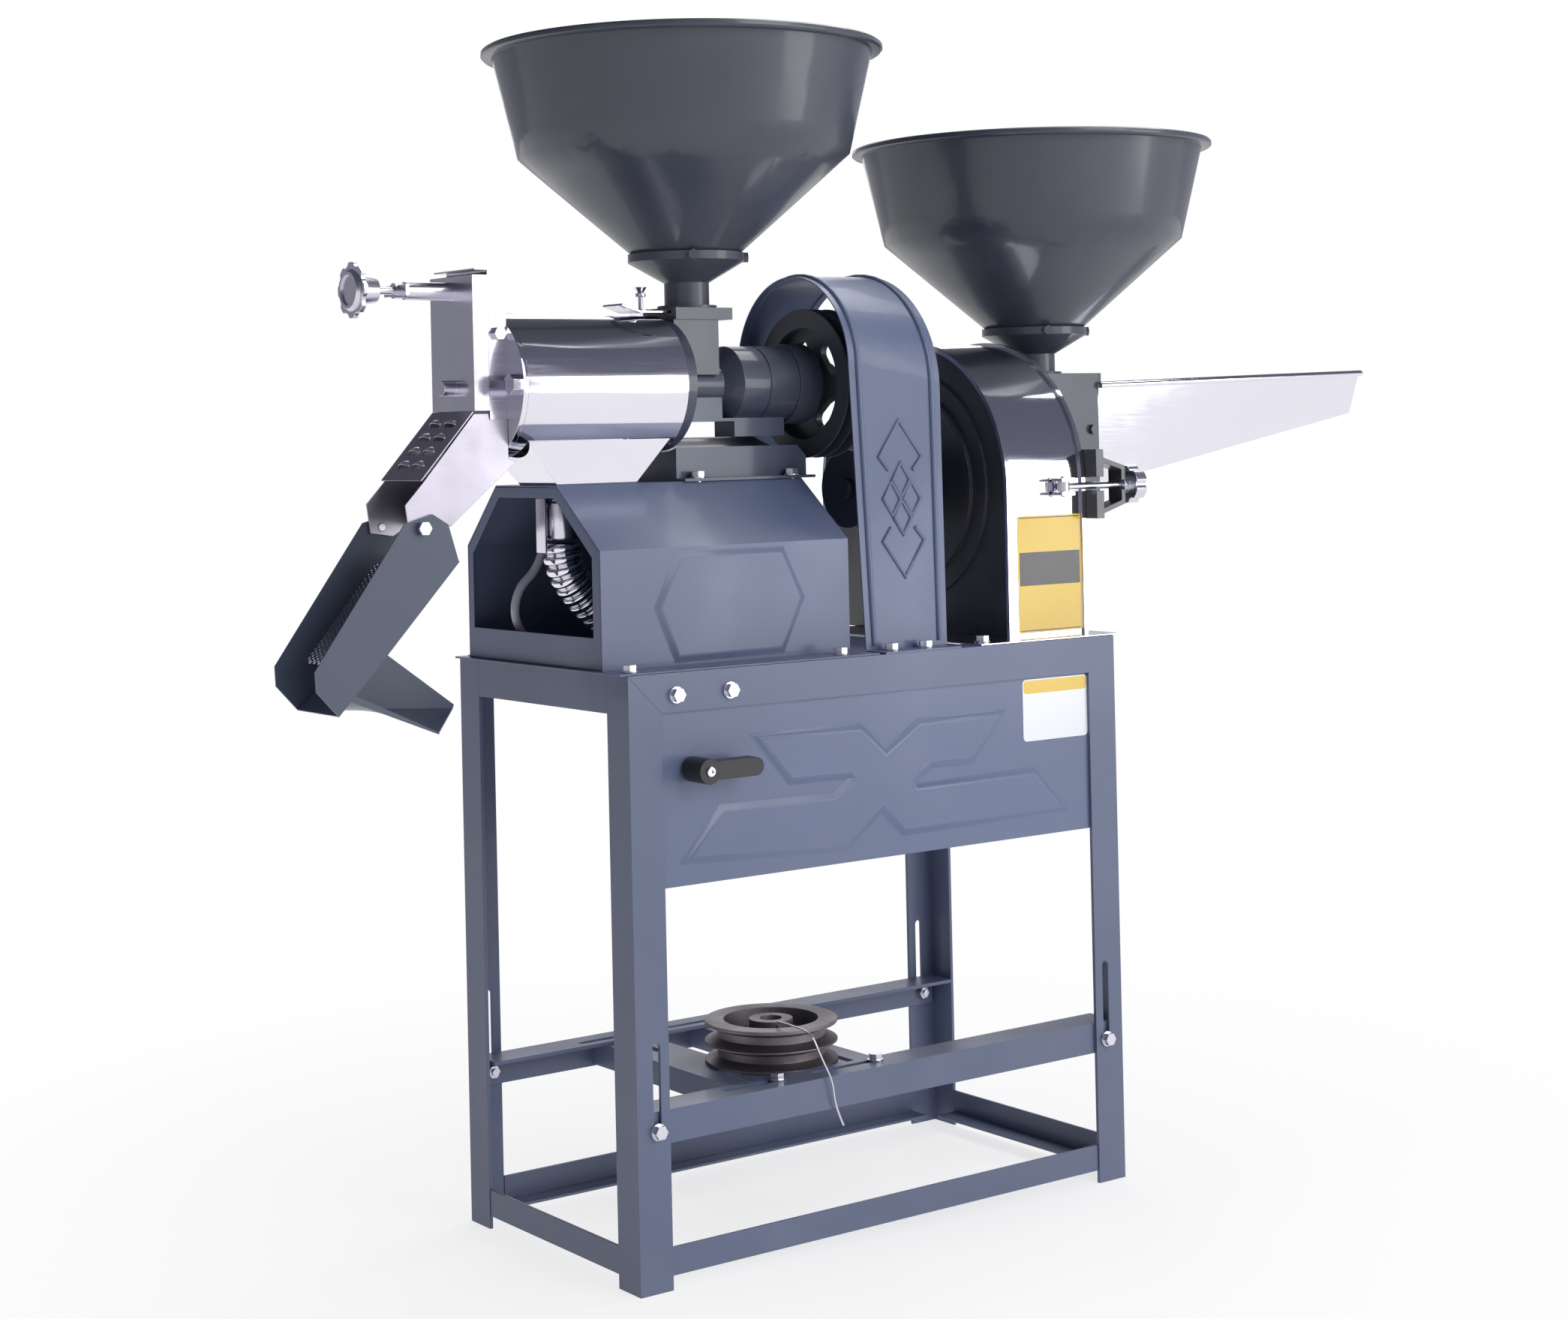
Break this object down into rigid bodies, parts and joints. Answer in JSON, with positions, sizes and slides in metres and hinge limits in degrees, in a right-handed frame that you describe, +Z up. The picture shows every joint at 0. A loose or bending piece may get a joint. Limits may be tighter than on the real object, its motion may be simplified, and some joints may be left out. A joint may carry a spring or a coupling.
{
  "type": "rice huller",
  "caption": "Small combined rice huller and grain crusher on an angle-iron stand, with round feed hoppers, a belt guard, tilting outlet chute and a sliding motor seat.",
  "frame": {"origin": "middle of the bounding box's underside, on the floor between the stand's feet", "axes": "+X along both machine shafts from the rice outlet to the feed tray, +Y away from the user, +Z up"},
  "size_m": [1.549, 0.49, 1.282],
  "materials": {
    "frame_paint": "satin blue-grey enamel",
    "panel_paint": "satin blue-grey enamel",
    "hopper_paint": "satin dark slate enamel",
    "black_cast": "satin black enamel over cast iron",
    "stainless": "brushed stainless sheet",
    "polished": "polished stainless",
    "zinc": "zinc-plated fasteners",
    "cast_iron": "machined cast iron",
    "black_plastic": "moulded black plastic",
    "pipe_plastic": "soft ribbed plastic",
    "hose_plastic": "flexible tube"
  },
  "bodies": {
    "machine": {"bearing_housing": "black_cast", "belt_guard": "panel_paint", "bottom_rails": "frame_paint", "bran_hopper": "stainless", "bran_pipe": "pipe_plastic", "bran_screen": "stainless", "cabinet_base": "panel_paint", "cabinet_cover": "panel_paint", "cabinet_left_frame": "panel_paint", "cabinet_right_wall": "panel_paint", "crusher_base": "panel_paint", "crusher_door": "black_cast", "crusher_left_plate": "black_cast", "crusher_wrap": "panel_paint", "drum_cover": "polished", "drum_end_plate": "stainless", "feed_block": "hopper_paint", "feed_throat": "black_cast", "feed_tray": "hopper_paint", "front_panel": "panel_paint", "hopper_collar_left": "hopper_paint", "hopper_collar_right": "hopper_paint", "hopper_left": "hopper_paint", "hopper_right": "hopper_paint", "hose": "hose_plastic", "leg_back_left": "frame_paint", "leg_back_right": "frame_paint", "leg_front_left": "frame_paint", "leg_front_right": "frame_paint", "machine_bolts": "zinc", "mill_base": "panel_paint", "outlet_casing": "stainless", "outlet_door": "polished", "pipe_union": "pipe_plastic", "ring_sieve": "stainless", "top_back_rail": "frame_paint", "top_front_rail": "frame_paint", "top_side_rails": "frame_paint", "upper_chute": "stainless"},
    "motor_rails": {"motor_rail_front": "frame_paint", "motor_rail_back": "frame_paint", "seat_bar_left": "frame_paint", "seat_bar_right": "frame_paint", "rail_bolts": "zinc", "spare_pulley": "cast_iron", "tie_wire": "zinc"},
    "lever": {"lever_handle": "black_plastic"},
    "gate": {"feed_gate": "stainless"},
    "pressure_adjuster": {"pressure_screw": "zinc"},
    "lock_nut": {"wing_nut": "zinc"},
    "pressure_flap": {"pressure_gate": "zinc"},
    "tilting_chute": {"lower_chute": "panel_paint", "chute_sieve": "stainless"},
    "mill_rotor": {"mill_shaft": "cast_iron", "screw_roller": "cast_iron", "mill_pulley": "black_cast"},
    "grinder_rotor": {"crusher_rotor": "black_cast", "crusher_pulley": "black_cast"},
    "clamp_bolt": {"swing_bolt": "zinc"},
    "clamp_handle": {"clamp_knob": "black_plastic"}
  },
  "joints": [
    {"name": "motor_rail_height", "type": "slide", "parent": "machine", "child": "motor_rails", "axis": [0, 0, 1], "range_m": [0, 0.084]},
    {"name": "lever_turn", "type": "hinge", "parent": "machine", "child": "lever", "pos_m": [-0.4145, -0.205, 0.521], "axis": [0, 1, 0], "range_deg": [-90, 0]},
    {"name": "feed_gate_slide", "type": "slide", "parent": "machine", "child": "gate", "axis": [-1, 0, 0], "range_m": [0, 0.042]},
    {"name": "pressure_turn", "type": "hinge", "parent": "machine", "child": "pressure_adjuster", "pos_m": [-0.6375, -0.025, 1.0126], "axis": [1, 0, 0], "continuous": true},
    {"name": "lock_nut_turn", "type": "hinge", "parent": "pressure_adjuster", "child": "lock_nut", "pos_m": [-0.6505, -0.025, 1.0126], "axis": [1, 0, 0], "continuous": true},
    {"name": "pressure_flap_swing", "type": "hinge", "parent": "machine", "child": "pressure_flap", "pos_m": [-0.5585, -0.025, 0.968], "axis": [0, 1, 0], "range_deg": [0, 6]},
    {"name": "chute_tilt", "type": "hinge", "parent": "machine", "child": "tilting_chute", "pos_m": [-0.6525, -0.025, 0.772], "axis": [0, 1, 0], "range_deg": [-12, 8]},
    {"name": "mill_spin", "type": "hinge", "parent": "machine", "child": "mill_rotor", "pos_m": [-0.1575, -0.025, 0.915], "axis": [1, 0, 0], "continuous": true},
    {"name": "grinder_spin", "type": "hinge", "parent": "machine", "child": "grinder_rotor", "pos_m": [0.0425, 0.025, 0.793], "axis": [1, 0, 0], "continuous": true},
    {"name": "clamp_swing", "type": "hinge", "parent": "machine", "child": "clamp_bolt", "pos_m": [0.1405, -0.153, 0.791], "axis": [0, 0, 1], "range_deg": [-95, 0]},
    {"name": "clamp_knob_turn", "type": "hinge", "parent": "clamp_bolt", "child": "clamp_handle", "pos_m": [0.2425, -0.153, 0.791], "axis": [1, 0, 0], "continuous": true}
  ]
}
